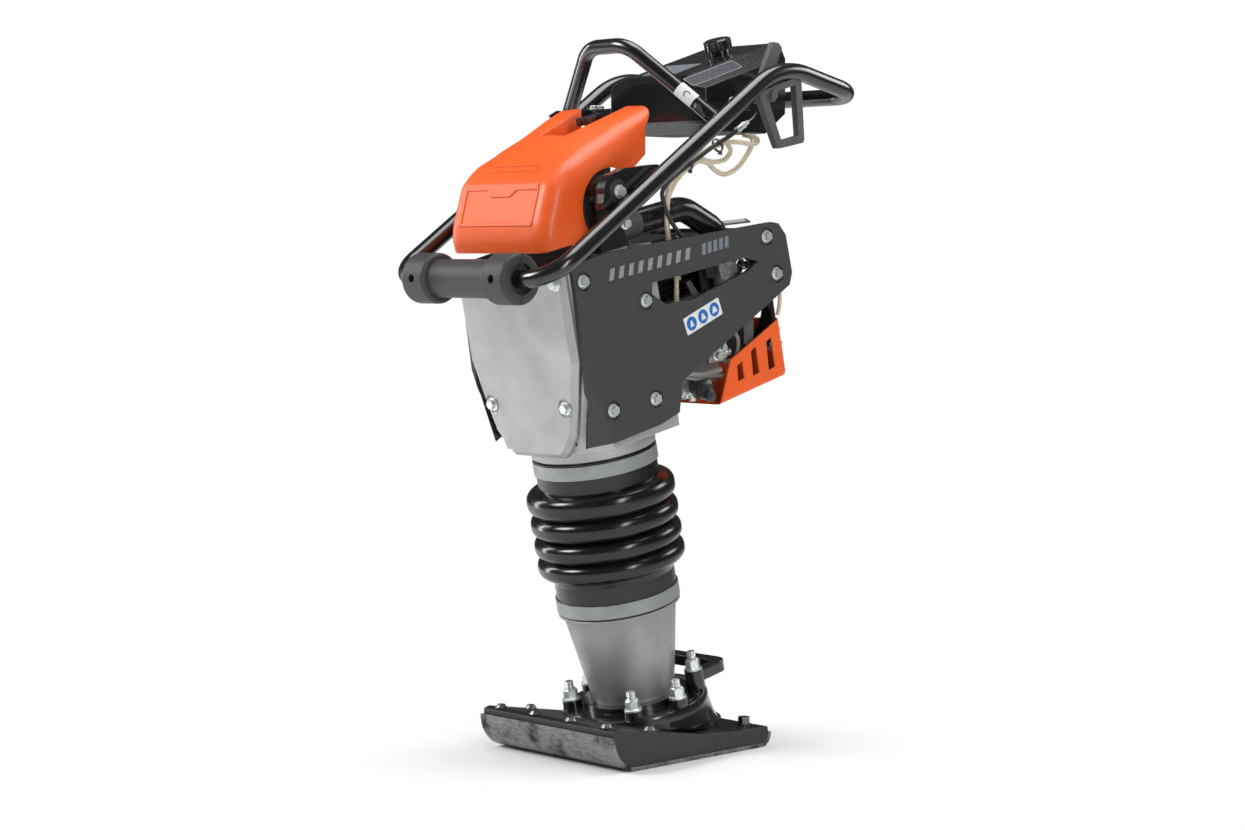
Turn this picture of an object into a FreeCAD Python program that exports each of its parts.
import FreeCAD, Part
import math
import os
import Sketcher
from FreeCAD import Placement, Rotation, Vector

# A jumping jack rammer: a foot, a leg with springs inside, a crankcase with an engine, and a handle.
# Row frame: origin on the ground under the foot's centre, +Z up, -Y towards the roller at the front,
# +Y towards the operator's bar, +X towards the side with the throttle lever. All sizes are millimetres.
# The leg, the crankcase and the engine lean forwards together. They are built upright in a leaning
# frame (x across, y rearwards, z along the leg) and get the same tilted Placement.

doc = FreeCAD.newDocument("rammer")
size = doc.addObject("Spreadsheet::Sheet", "size")
finished = []
counters = {"row": 0, "name": 0}


# ---------------------------------------------------------------- helpers

def dims(title, **values):
    """Adds driving dimensions to the sheet, one row each, and gives every one its alias."""
    counters["row"] += 1
    size.set("A%d" % counters["row"], title)
    for alias, number in values.items():
        counters["row"] += 1
        size.set("A%d" % counters["row"], alias)
        size.set("B%d" % counters["row"], str(number))
        size.setAlias("B%d" % counters["row"], alias)
    size.recompute()


def value(expression):
    """Reads an expression on the sheet as a plain number."""
    result = size.evalExpression(str(expression))
    return float(getattr(result, "Value", result))


def fresh(stem):
    """Gives a new object name."""
    counters["name"] += 1
    return "%s_%d" % (stem, counters["name"])


def bind(thing, **expressions):
    """Binds properties of an object to expressions on the sheet."""
    for name, expression in expressions.items():
        thing.setExpression(name, str(expression))


def place(thing, base, turn=None):
    """Binds an object's position to three expressions, and turns it by (axis, angle)."""
    if turn:
        thing.Placement = Placement(Vector(), Rotation(turn[0], turn[1]))
    for letter, expression in zip("xyz", base):
        thing.setExpression("Placement.Base.%s" % letter, str(expression))


X_AXIS = Vector(1, 0, 0)
Y_AXIS = Vector(0, 1, 0)
Z_AXIS = Vector(0, 0, 1)
TURNS = {"z": None, "x": (Y_AXIS, 90), "y": (X_AXIS, -90)}


def cylinder(radius, height, base, axis="z"):
    """A cylinder that starts at base and runs along the positive axis."""
    part = doc.addObject("Part::Cylinder", fresh("cylinder"))
    bind(part, Radius=radius, Height=height)
    place(part, base, TURNS[axis])
    return part


def hexagon(radius, height, base, axis="z"):
    """A hexagonal prism, such as a bolt head or a nut."""
    part = doc.addObject("Part::Prism", fresh("hexagon"))
    part.Polygon = 6
    bind(part, Circumradius=radius, Height=height)
    place(part, base, TURNS[axis])
    return part


def cone(low_radius, high_radius, height, base, axis="z"):
    """A cone frustum that starts at base."""
    part = doc.addObject("Part::Cone", fresh("cone"))
    bind(part, Radius1=low_radius, Radius2=high_radius, Height=height)
    place(part, base, TURNS[axis])
    return part


def box(low, high):
    """A box between two corners, each given as three expressions."""
    part = doc.addObject("Part::Box", fresh("box"))
    lengths = ["(%s) - (%s)" % (b, a) for a, b in zip(low, high)]
    bind(part, Length=lengths[0], Width=lengths[1], Height=lengths[2])
    place(part, low)
    return part


def fuse(*shapes):
    """Joins shapes into one solid."""
    part = doc.addObject("Part::MultiFuse", fresh("fuse"))
    part.Shapes = list(shapes)
    part.Refine = True
    return part


def cut(base, *tools):
    """Cuts one or more tools out of a base."""
    part = doc.addObject("Part::Cut", fresh("cut"))
    part.Base = base
    part.Tool = tools[0] if len(tools) == 1 else fuse(*tools)
    return part


def group(shapes):
    """Keeps identical pieces together as separate solids."""
    part = doc.addObject("Part::Compound", fresh("group"))
    part.Links = list(shapes)
    return part


def rounded(base, radius, chosen):
    """Fillets the edges of base for which chosen(edge centre, edge) is true."""
    doc.recompute()
    part = doc.addObject("Part::Fillet", fresh("rounded"))
    part.Base = base
    number = value(radius)
    edges = [i + 1 for i, edge in enumerate(base.Shape.Edges) if chosen(edge.CenterOfMass, edge)]
    part.Edges = [(i, number, number) for i in edges]
    return part


def body(stem):
    """A PartDesign body."""
    return doc.addObject("PartDesign::Body", fresh(stem))


def sketch_on(owner, plane, offset):
    """A sketch on one of the body's own origin planes, shifted along the plane's normal."""
    found = [f for f in owner.Origin.OriginFeatures if f.Role == plane + "_Plane"][0]
    sketch = owner.newObject("Sketcher::SketchObject", fresh("sketch"))
    sketch.AttachmentSupport = [(found, "")]
    sketch.MapMode = "FlatFace"
    sketch.setExpression("AttachmentOffset.Base.z", str(offset))
    return sketch


def pin_point(sketch, geometry, point, across, along):
    """Holds one sketch point at two expressions measured from the sketch origin."""
    for kind, axis, expression in (("DistanceX", -2, across), ("DistanceY", -1, along)):
        if value(expression) == 0:
            sketch.addConstraint(Sketcher.Constraint("PointOnObject", geometry, point, axis))
            continue
        row = sketch.addConstraint(
            Sketcher.Constraint(kind, -1, 1, geometry, point, value(expression)))
        sketch.setExpression("Constraints[%d]" % row, str(expression))


def draw_polygon(sketch, points):
    """Draws a closed outline whose corners are pairs of expressions."""
    first = sketch.GeometryCount
    corners = [Vector(value(a), value(b), 0) for a, b in points]
    count = len(corners)
    for i in range(count):
        sketch.addGeometry(Part.LineSegment(corners[i], corners[(i + 1) % count]), False)
    for i in range(count):
        following = first + (i + 1) % count
        sketch.addConstraint(Sketcher.Constraint("Coincident", first + i, 2, following, 1))
    for i, (across, along) in enumerate(points):
        pin_point(sketch, first + i, 1, across, along)


def draw_circle(sketch, across, along, radius):
    """Draws a circle from three expressions."""
    centre = Vector(value(across), value(along), 0)
    i = sketch.addGeometry(Part.Circle(centre, Vector(0, 0, 1), value(radius)), False)
    pin_point(sketch, i, 3, across, along)
    row = sketch.addConstraint(Sketcher.Constraint("Radius", i, value(radius)))
    sketch.setExpression("Constraints[%d]" % row, str(radius))


def draw(sketch, shapes):
    """Draws polygons (lists of pairs) and circles (tuples of three)."""
    for shape in shapes:
        if isinstance(shape, tuple):
            draw_circle(sketch, *shape)
        else:
            draw_polygon(sketch, shape)


def pad(owner, plane, low, high, *shapes):
    """Pads outlines between two positions along the plane's axis."""
    sketch = sketch_on(owner, plane, "-(%s)" % high if plane == "XZ" else low)
    draw(sketch, shapes)
    feature = owner.newObject("PartDesign::Pad", fresh("pad"))
    feature.Profile = sketch
    feature.setExpression("Length", "(%s) - (%s)" % (high, low))
    return feature


def pocket(owner, plane, low, high, *shapes):
    """Pockets outlines between two positions along the plane's axis."""
    doc.recompute()
    before = owner.Shape.Volume
    sketch = sketch_on(owner, plane, "-(%s)" % low if plane == "XZ" else high)
    draw(sketch, shapes)
    feature = owner.newObject("PartDesign::Pocket", fresh("pocket"))
    feature.Profile = sketch
    feature.setExpression("Length", "(%s) - (%s)" % (high, low))
    doc.recompute()
    if owner.Shape.Volume >= before:
        raise RuntimeError("pocket %s cut nothing" % feature.Name)
    return feature


def revolve(owner, *shapes):
    """Turns outlines drawn as (radius, height) about the body's own Z axis."""
    sketch = sketch_on(owner, "XZ", "0")
    draw(sketch, shapes)
    feature = owner.newObject("PartDesign::Revolution", fresh("revolution"))
    feature.Profile = sketch
    feature.ReferenceAxis = (sketch, ["V_Axis"])
    feature.Angle = 360
    return feature


def soften(owner, radius, chosen, kind="Fillet"):
    """Fillets or chamfers the body's edges for which chosen(edge centre, edge) is true."""
    doc.recompute()
    tip = owner.Tip
    edges = ["Edge%d" % (i + 1) for i, edge in enumerate(tip.Shape.Edges)
             if chosen(edge.CenterOfMass, edge)]
    feature = owner.newObject("PartDesign::" + kind, fresh("soften"))
    feature.Base = (tip, edges)
    feature.setExpression("Radius" if kind == "Fillet" else "Size", str(radius))
    doc.recompute()
    return feature


def straight(edge, axis):
    """True for a straight edge that runs along the axis."""
    if edge.Curve.TypeId != "Part::GeomLine":
        return False
    return abs(edge.Curve.Direction.dot(axis)) > 0.999


def rounded_wire(points, radii, closed=False):
    """A wire through points, with every corner turned into an arc of the given radius."""
    count = len(points)
    legs = []
    inner = range(count) if closed else range(1, count - 1)
    tangents = {}
    for i in inner:
        before = (points[i - 1] - points[i]).normalize()
        after = (points[(i + 1) % count] - points[i]).normalize()
        half = math.acos(max(-1, min(1, before.dot(after)))) / 2
        reach = radii[i] / math.tan(half)
        bisector = (before + after).normalize()
        middle = points[i] + bisector * (radii[i] / math.sin(half) - radii[i])
        tangents[i] = (points[i] + before * reach, middle, points[i] + after * reach)
    for i in range(count if closed else count - 1):
        following = (i + 1) % count
        start = tangents[i][2] if i in tangents else points[i]
        stop = tangents[following][0] if following in tangents else points[following]
        legs.append(Part.makeLine(start, stop))
        if following in tangents:
            legs.append(Part.Arc(*tangents[following]).toShape())
    return Part.Wire(legs)


def sweep(wire, radius):
    """A round bar swept along a wire."""
    spine = doc.addObject("Part::Feature", fresh("spine"))
    spine.Shape = wire
    profile = doc.addObject("Part::Circle", fresh("profile"))
    bind(profile, Radius=radius)
    start = wire.OrderedEdges[0]
    direction = start.tangentAt(start.FirstParameter)
    profile.Placement = Placement(start.valueAt(start.FirstParameter), Rotation(Z_AXIS, direction))
    part = doc.addObject("Part::Sweep", fresh("sweep"))
    part.Sections = [profile]
    part.Spine = spine
    part.Solid = True
    part.Frenet = False
    return part


def finish(part, label, leaning=True):
    """Names a finished sub-part and puts it in the row frame."""
    part.Label = label
    if leaning:
        part.Placement = Placement(Vector(), Rotation(X_AXIS, value("size.lean_angle")))
        part.setExpression("Placement.Base.y", "size.lean_origin")
        part.setExpression("Placement.Rotation.Angle", "size.lean_angle")
    finished.append(part)
    return part


def ring_positions(radius, angles):
    """Pairs of expressions for points on a circle about the leg's axis."""
    return [("%s * cos(%g deg)" % (radius, a), "%s * sin(%g deg)" % (radius, a)) for a in angles]


# ---------------------------------------------------------------- driving dimensions

dims("Lean of the leg, crankcase and engine", lean_angle=12.5, lean_origin=33)
dims("Foot, on the ground",
     shoe_half_width=140, shoe_reach=163, shoe_thickness=5.5, shoe_front_lip=52, shoe_rear_lip=21,
     shoe_front_radius=51, shoe_rear_radius=20, pad_half_width=139.5,
     pad_front_height=62.5, pad_front_crest=-148, pad_shoulder_y=-69, pad_shoulder_height=48,
     pad_middle_y=12, pad_middle_height=35, pad_rear_y=96, pad_rear_height=29.8)
dims("Foot flange and studs, in the leaning frame",
     stud_circle=92.5, stud_radius=6, stud_bottom=63, stud_top=131, boss_radius=14, boss_top=85,
     flange_top=74, flange_bottom=56, flange_radius=97, casting_root_radius=116, casting_root_z=-4,
     collar_radius=75, collar_top=83, leg_gap=0.4,
     nut_radius=11, nut_height=12, washer_radius=13, washer_height=2.5, eye_top=103,
     loop_bar=18, loop_end_y=128, loop_half_width=68)
dims("Leg tube", leg_bore=46.2, leg_foot_z=60, leg_low_radius=62, leg_low_z=88, leg_high_radius=84,
     leg_high_z=218, leg_lip_radius=90, leg_lip_z=221, spigot_radius=84, leg_top_z=250)
dims("Oil sight glass, in the leaning frame", sight_y=82, sight_z=158, sight_radius=9, sight_seat=12)
dims("Bellows and its clamps", cuff_inner=84.2, cuff_radius=88, band_radius=91, band_height=20,
     lower_band_z=224, upper_band_z=432, bellows_low=221.2, bellows_high=456, fold_radius=109,
     valley_radius=93)
dims("Ramming system", spring_cylinder_radius=46, spring_cylinder_bore=39, spring_cylinder_low=72,
     spring_cylinder_high=434, cap_thickness=10, rod_radius=12, rod_clearance=0.1,
     plate_radius=38.5, plate_low=322, plate_thickness=12, spring_radius=29, spring_wire=4,
     guide_bore=46.1, guide_radius=52, flange_half=70, guide_low=302, guide_high=574, piston_radius=46,
     piston_low=522, piston_high=566, wrist_z=546, wrist_radius=9, wrist_half_length=38,
     rod_eye_radius=17, rod_half_width=10, crank_throw=22, crank_rod_length=150)
dims("Crank gear and pinion", gear_module=1.75, gear_teeth=72, pinion_teeth=14, gear_low_y=30,
     gear_high_y=48, crank_z=674, web_low_y=17, web_radius=44, crank_pin_radius=10,
     crank_pin_gap=0.5, shaft_radius=17, shaft_end_y=68, pinion_shaft_radius=9,
     bearing_low_y=54, bearing_high_y=66, crank_bearing_radius=31, pinion_bearing_radius=17.5)
dims("Clutch", drum_radius=52, drum_wall=4, drum_low_y=72, drum_high_y=102, shoe_radius=46.5,
     shoe_low_y=78, shoe_high_y=98)
dims("Crankcase", case_half_width=112, case_front_y=-96, case_rear_y=70, case_top=745,
     case_bottom=478, case_front_half_low=78, case_corner_z=612, room_half_width=104, room_rear_y=50,
     case_roof=5, neck_radius=91, neck_low=458, cover_front_y=-110)
dims("Engine", engine_front_y=118, engine_rear_y=206, engine_half_width=72, engine_low=505,
     engine_high=640, fin_half_width=56, cylinder_radius=38, cylinder_top=706, head_top=732,
     shaft_z=598.75, engine_shaft_radius=11, flywheel_radius=70, flywheel_low_y=216,
     flywheel_high_y=236, starter_low_y=208, starter_high_y=292, starter_radius=82)
dims("Handle", handle_half_width=165, handle_tube=12.5, handle_wall=2.5, handle_front_y=-300.5,
     handle_front_z=692.5, handle_crest_y=150, handle_crest_z=1000, handle_rear_y=324,
     handle_rear_z=962, handle_corner=48, handle_crest_radius=130, arch_tube=11, arch_foot_x=160,
     arch_foot_y=26, arch_foot_z=914, arch_top_x=40, arch_top_y=-38, arch_top_z=1025,
     arch_corner=52, pivot_y=-158, pivot_z=812)
doc.recompute()


# ---------------------------------------------------------------- foot

def foot_pad():
    """The black foot body: a deep block with a raised front and a sloping back."""
    dims("Foot body details", pad_front_face=-157.5, pad_rear_face=157.5, pad_rear_drop=24)
    owner = body("pad")
    pad(owner, "YZ", "-size.pad_half_width", "size.pad_half_width", [
        ("size.pad_front_face", "size.pad_front_height - 3"),
        ("size.pad_front_crest", "size.pad_front_height"),
        ("size.pad_shoulder_y", "size.pad_shoulder_height"),
        ("size.pad_middle_y", "size.pad_middle_height"),
        ("size.pad_rear_y", "size.pad_rear_height"),
        ("size.pad_rear_face - 1", "size.pad_rear_height - 0.5"),
        ("size.pad_rear_face", "size.pad_rear_drop"),
        ("size.pad_rear_face", "size.shoe_thickness"),
        ("size.pad_front_face", "size.shoe_thickness")])
    soften(owner, "size.shoe_front_radius - size.shoe_thickness",
           lambda c, e: straight(e, X_AXIS) and c.y < -150 and c.z < 10)
    soften(owner, "size.shoe_rear_radius - size.shoe_thickness",
           lambda c, e: straight(e, X_AXIS) and c.y > 150 and c.z < 10)
    return finish(owner, "foot_pad", leaning=False)


def foot_shoe():
    """The steel wear plate that wraps the pad's front, sole and back."""
    blank = body("shoe")
    pad(blank, "YZ", "-size.shoe_half_width", "size.shoe_half_width", [
        ("-size.shoe_reach", "size.shoe_front_lip"),
        ("-size.shoe_reach", "0"),
        ("size.shoe_reach", "0"),
        ("size.shoe_reach", "size.shoe_rear_lip")])
    hollow = body("shoe_hollow")
    pad(hollow, "YZ", "-size.shoe_half_width - 1", "size.shoe_half_width + 1", [
        ("size.pad_front_face", "size.pad_front_height + 5"),
        ("size.pad_rear_face", "size.pad_front_height + 5"),
        ("size.pad_rear_face", "size.shoe_thickness"),
        ("size.pad_front_face", "size.shoe_thickness")])
    for owner, reduce in ((blank, "0"), (hollow, "size.shoe_thickness")):
        soften(owner, "size.shoe_front_radius - %s" % reduce,
               lambda c, e: straight(e, X_AXIS) and c.y < -150 and c.z < 10)
        soften(owner, "size.shoe_rear_radius - %s" % reduce,
               lambda c, e: straight(e, X_AXIS) and c.y > 150 and c.z < 10)
    return finish(cut(blank, hollow), "foot_shoe", leaning=False)


def shoe_bolts():
    """Round-headed bolts that hold the wear plate, on the pad's upper face."""
    dims("Shoe bolts", shoe_bolt_head=9, shoe_bolt_height=5, shoe_bolt_front_y=-147,
         shoe_bolt_outer_x=112, shoe_bolt_inner_x=38, shoe_bolt_rear_x=108, shoe_bolt_rear_y=138,
         shoe_bolt_side_x=126, shoe_bolt_side_y=-62)
    bolts = []
    front = "size.pad_front_height"
    for side in (-1, 1):
        for column in ("outer", "inner"):
            x = "%d * size.shoe_bolt_%s_x" % (side, column)
            bolts.append(cone("size.shoe_bolt_head", "size.shoe_bolt_head * 0.6",
                              "size.shoe_bolt_height", (x, "size.shoe_bolt_front_y", front)))
        x = "%d * size.shoe_bolt_side_x" % side
        low = "size.pad_shoulder_height + 0.2"
        bolts.append(cone("size.shoe_bolt_head", "size.shoe_bolt_head * 0.6",
                          "size.shoe_bolt_height", (x, "size.shoe_bolt_side_y - 14", low + " + 3.2")))
        x = "%d * size.shoe_bolt_rear_x" % side
        washer = cylinder("size.shoe_bolt_head * 1.1", "2.5",
                          (x, "size.shoe_bolt_rear_y", "size.pad_rear_height"))
        nut = hexagon("size.shoe_bolt_head", "size.shoe_bolt_height * 2",
                      (x, "size.shoe_bolt_rear_y", "size.pad_rear_height + 2"))
        bolts.append(fuse(washer, nut))
    return finish(group(bolts), "shoe_bolts", leaning=False)


def foot_casting():
    """The black flared pedestal on the pad, with a round flange and six stud bosses."""
    raw = [cone("size.casting_root_radius", "size.flange_radius - 9",
                "size.flange_bottom - size.casting_root_z + 2", ("0", "0", "size.casting_root_z")),
           cylinder("size.flange_radius", "size.flange_top - size.flange_bottom",
                    ("0", "0", "size.flange_bottom")),
           cylinder("size.collar_radius", "size.collar_top - size.flange_bottom",
                    ("0", "0", "size.flange_bottom"))]
    for x, y in ring_positions("size.stud_circle", STUD_ANGLES):
        raw.append(cylinder("size.boss_radius", "size.boss_top - size.flange_bottom + 14",
                            (x, y, "size.flange_bottom - 14")))
    solid = fuse(*raw)
    tools = [cylinder("size.stud_radius + 0.1", "100", (x, y, "size.stud_bottom"))
             for x, y in ring_positions("size.stud_circle", STUD_ANGLES)]
    tools.append(cylinder("size.leg_low_radius + size.leg_gap", "40", ("0", "0", "size.leg_foot_z - 0.2")))
    casting = finish(cut(solid, *tools), "foot_casting_blank")
    finished.remove(casting)
    ground = body("ground")
    pad(ground, "YZ", "-200", "200", [
        ("-200", "size.pad_front_height"),
        ("size.pad_front_crest", "size.pad_front_height"),
        ("size.pad_shoulder_y", "size.pad_shoulder_height"),
        ("size.pad_middle_y", "size.pad_middle_height"),
        ("size.pad_rear_y", "size.pad_rear_height"),
        ("size.pad_rear_face - 1", "size.pad_rear_height - 0.5"),
        ("200", "size.pad_rear_height - 0.5"),
        ("200", "-100"),
        ("-200", "-100")])
    return finish(cut(casting, ground), "foot_casting", leaning=False)


STUD_ANGLES = (45, 135, 180, 225, 315, 0)


def foot_studs():
    """Six threaded studs that stand out of the foot flange."""
    studs = []
    for i, (x, y) in enumerate(ring_positions("size.stud_circle", STUD_ANGLES)):
        top = "size.stud_top" if i < 2 else "size.stud_top - size.loop_bar"
        studs.append(cylinder("size.stud_radius", top + " - size.stud_bottom",
                              (x, y, "size.stud_bottom")))
    return finish(group(studs), "foot_studs")


def foot_nuts():
    """A washer and a nut on every stud; the two rear ones sit on the lifting loop's eyes."""
    nuts = []
    for i, (x, y) in enumerate(ring_positions("size.stud_circle", STUD_ANGLES)):
        seat = "size.eye_top" if i < 2 else "size.boss_top"
        washer = cylinder("size.washer_radius", "size.washer_height", (x, y, seat))
        nut = hexagon("size.nut_radius", "size.nut_height", (x, y, seat + " + size.washer_height - 0.5"))
        hole = cylinder("size.stud_radius + 0.05", "40", (x, y, seat + " - 5"))
        nuts.append(cut(fuse(washer, nut), hole))
    return finish(group(nuts), "foot_nuts")


def foot_handle():
    """The lifting loop behind the leg: a flat bar bent into a U, with an eye over each rear stud."""
    eyes = [cylinder("size.boss_radius", "size.eye_top - size.boss_top", (x, y, "size.boss_top"))
            for x, y in ring_positions("size.stud_circle", STUD_ANGLES[:2])]
    bar = body("loop")
    outer_x = "(size.loop_half_width + size.loop_bar / 2)"
    inner_x = "(size.loop_half_width - size.loop_bar / 2)"
    inner_y = "size.loop_end_y - size.loop_bar"
    eye_y = "size.stud_circle * sin(45 deg)"
    pad(bar, "XY", "size.boss_top", "size.eye_top - 1", [
        ("-" + outer_x, eye_y), ("-" + outer_x, "size.loop_end_y"),
        (outer_x, "size.loop_end_y"), (outer_x, eye_y), (inner_x, eye_y),
        (inner_x, inner_y), ("-" + inner_x, inner_y), ("-" + inner_x, eye_y)])
    soften(bar, "size.loop_bar", lambda c, e: straight(e, Z_AXIS) and c.y > value("size.loop_end_y") - 1)
    soften(bar, "3", lambda c, e: abs(c.z - value("size.eye_top") + 1) < 0.01)
    holes = [cylinder("size.stud_radius + 0.1", "60", (x, y, "size.boss_top - 10"))
             for x, y in ring_positions("size.stud_circle", STUD_ANGLES[:2])]
    return finish(cut(fuse(bar, *eyes), *holes), "foot_handle")


# ---------------------------------------------------------------- leg and bellows

def leg():
    """The cast leg: a cone that widens upwards to the lip under the bellows."""
    owner = body("leg")
    revolve(owner, [
        ("size.leg_bore", "size.leg_foot_z"), ("size.leg_low_radius", "size.leg_foot_z"),
        ("size.leg_low_radius", "size.leg_low_z"), ("size.leg_high_radius", "size.leg_high_z"),
        ("size.leg_lip_radius", "size.leg_high_z"), ("size.leg_lip_radius", "size.leg_lip_z"),
        ("size.spigot_radius", "size.leg_lip_z"), ("size.spigot_radius", "size.leg_top_z"),
        ("size.leg_bore", "size.leg_top_z")])
    soften(owner, "2", lambda c, e: abs(c.z - value("size.leg_top_z")) < 0.01)
    glass_seat = cylinder("size.sight_seat", "20", ("0", "size.sight_y - 20", "size.sight_z"), "y")
    glass_hole = cylinder("size.sight_radius + 0.05", "18", ("0", "size.sight_y - 8", "size.sight_z"), "y")
    bore = cylinder("size.leg_bore", "300", ("0", "0", "0"))
    return finish(cut(fuse(owner, glass_seat), glass_hole, bore), "leg")


def oil_sight_glass():
    """The round oil level glass at the back of the leg."""
    disc = cylinder("size.sight_radius", "7.5", ("0", "size.sight_y - 7.8", "size.sight_z"), "y")
    return finish(group([disc]), "oil_sight_glass")


def bellows():
    """The rubber bellows: four round folds between two clamped cuffs."""
    dims("Bellows folds", fold_one=293.4, fold_two=323.8, fold_three=356.4, fold_four=390.8,
         fold_half=13, cuff_low_end=268, cuff_high_end=414)
    outside = [("size.cuff_radius", "size.bellows_low"), ("size.cuff_radius", "size.cuff_low_end")]
    for name in ("one", "two", "three", "four"):
        centre = "size.fold_" + name
        outside += [("size.fold_radius - 7", centre + " - size.fold_half * 0.8"),
                    ("size.fold_radius", centre + " - size.fold_half * 0.3"),
                    ("size.fold_radius", centre + " + size.fold_half * 0.3"),
                    ("size.fold_radius - 7", centre + " + size.fold_half * 0.8")]
        if name != "four":
            outside.append(("size.valley_radius", centre + " + 16"))
    outside += [("size.cuff_radius", "size.cuff_high_end"), ("size.cuff_radius", "size.bellows_high")]
    inside = [("size.cuff_inner", "size.bellows_high"), ("size.cuff_inner", "size.bellows_low")]
    owner = body("bellows")
    revolve(owner, outside + inside)
    return finish(owner, "bellows")


def band(label, low):
    """A flat steel clamp band round a bellows cuff, with its screw housing at the back."""
    ring = cut(cylinder("size.band_radius", "size.band_height", ("0", "0", low)),
               cylinder("size.cuff_radius + 0.1", "60", ("0", "0", low + " - 20")))
    screw = cylinder("5", "26", ("-13", "size.band_radius + 3.5", low + " + size.band_height / 2"), "x")
    bridge = box(("-11", "size.band_radius - 1", low + " + 4"),
                 ("11", "size.band_radius + 4", low + " + 16"))
    return finish(fuse(ring, bridge, screw), label)


# ---------------------------------------------------------------- ramming system

def spring_cylinder():
    """The tube bolted into the leg that holds both springs, closed by a cap with a rod hole."""
    tube = cylinder("size.spring_cylinder_radius", "size.spring_cylinder_high - size.spring_cylinder_low",
                    ("0", "0", "size.spring_cylinder_low"))
    hollow = cylinder("size.spring_cylinder_bore",
                      "size.spring_cylinder_high - size.spring_cylinder_low - 2 * size.cap_thickness",
                      ("0", "0", "size.spring_cylinder_low + size.cap_thickness"))
    hole = cylinder("size.rod_radius + size.rod_clearance", "60",
                    ("0", "0", "size.spring_cylinder_high - 30"))
    return finish(cut(tube, hollow, hole), "spring_cylinder")


def spring(label, low, high, turns):
    """A compression spring of round wire."""
    helix = doc.addObject("Part::Helix", fresh("helix"))
    rise = "((%s) - (%s) - 2 * size.spring_wire - 1)" % (high, low)
    bind(helix, Height=rise, Pitch="%s / %g" % (rise, turns), Radius="size.spring_radius")
    place(helix, ("0", "0", low + " + size.spring_wire + 0.5"))
    doc.recompute()
    profile = doc.addObject("Part::Circle", fresh("wire"))
    bind(profile, Radius="size.spring_wire")
    profile.Placement = Placement(Vector(), Rotation(X_AXIS, 90))
    bind(profile, **{"Placement.Base.x": "size.spring_radius",
                     "Placement.Base.z": low + " + size.spring_wire + 0.5"})
    part = doc.addObject("Part::Sweep", fresh("coil"))
    part.Sections = [profile]
    part.Spine = helix
    part.Solid = True
    part.Frenet = True
    return finish(part, label)


def guide_cylinder():
    """The tube fixed in the crankcase that guides the spring cylinder and the piston."""
    tube = cylinder("size.guide_radius", "size.guide_high - size.guide_low", ("0", "0", "size.guide_low"))
    flange = box(("-size.flange_half", "-size.flange_half", "size.case_bottom + 12"),
                 ("size.flange_half", "size.room_rear_y - 0.5", "size.case_bottom + 20"))
    bore = cylinder("size.guide_bore", "400", ("0", "0", "size.guide_low - 20"))
    return finish(cut(fuse(tube, flange), bore), "guide_cylinder")


def piston():
    """The crosshead piston: a short skirt with a slot for the rod's small end."""
    skirt = cylinder("size.piston_radius", "size.piston_high - size.piston_low",
                     ("0", "0", "size.piston_low"))
    slot = box(("-22", "-size.rod_half_width - 0.5", "size.piston_low + 6"),
               ("22", "size.rod_half_width + 0.5", "size.piston_high + 1"))
    hole = cylinder("size.wrist_radius + 0.02", "2 * size.piston_radius + 20",
                    ("0", "-size.piston_radius - 10", "size.wrist_z"), "y")
    return finish(cut(skirt, slot, hole), "piston")


def piston_rod():
    """The rod under the piston, with the round plate that works between the springs."""
    owner = body("piston_rod")
    revolve(owner, [
        ("0", "size.plate_low - 16"), ("size.rod_radius", "size.plate_low - 16"),
        ("size.rod_radius", "size.plate_low"), ("size.plate_radius", "size.plate_low"),
        ("size.plate_radius", "size.plate_low + size.plate_thickness"),
        ("size.rod_radius", "size.plate_low + size.plate_thickness"),
        ("size.rod_radius", "size.piston_low"), ("0", "size.piston_low")])
    return finish(owner, "piston_rod")


def wrist_pin():
    """The pin that joins the piston and the connecting rod."""
    pin = cylinder("size.wrist_radius", "2 * size.wrist_half_length",
                   ("0", "-size.wrist_half_length", "size.wrist_z"), "y")
    return finish(group([pin]), "wrist_pin")


def connecting_rod():
    """The rod from the wrist pin to the crank pin."""
    top = "size.wrist_z + size.crank_rod_length"
    thick = "2 * size.rod_half_width"
    eyes = [cylinder("size.rod_eye_radius", thick, ("0", "-size.rod_half_width", "size.wrist_z"), "y"),
            cylinder("size.rod_eye_radius + 4", thick, ("0", "-size.rod_half_width", top), "y")]
    shank = box(("-10", "-size.rod_half_width + 2", "size.wrist_z"),
                ("10", "size.rod_half_width - 2", top))
    holes = [cylinder("size.wrist_radius + 0.05", "60", ("0", "-30", "size.wrist_z"), "y"),
             cylinder("size.crank_pin_radius", "60", ("0", "-30", top), "y")]
    return finish(cut(fuse(*eyes, shank), *holes), "connecting_rod")


def crank_pin():
    """The crank pin. It stays in the rod's big end, just clear of the crank web."""
    pin = cylinder("size.crank_pin_radius",
                   "size.web_low_y - size.crank_pin_gap + size.rod_half_width + 2",
                   ("0", "-size.rod_half_width - 2", "size.wrist_z + size.crank_rod_length"), "y")
    return finish(group([pin]), "crank_pin")


def involute(angle):
    """The involute of a pressure angle."""
    return math.tan(angle) - angle


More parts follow.
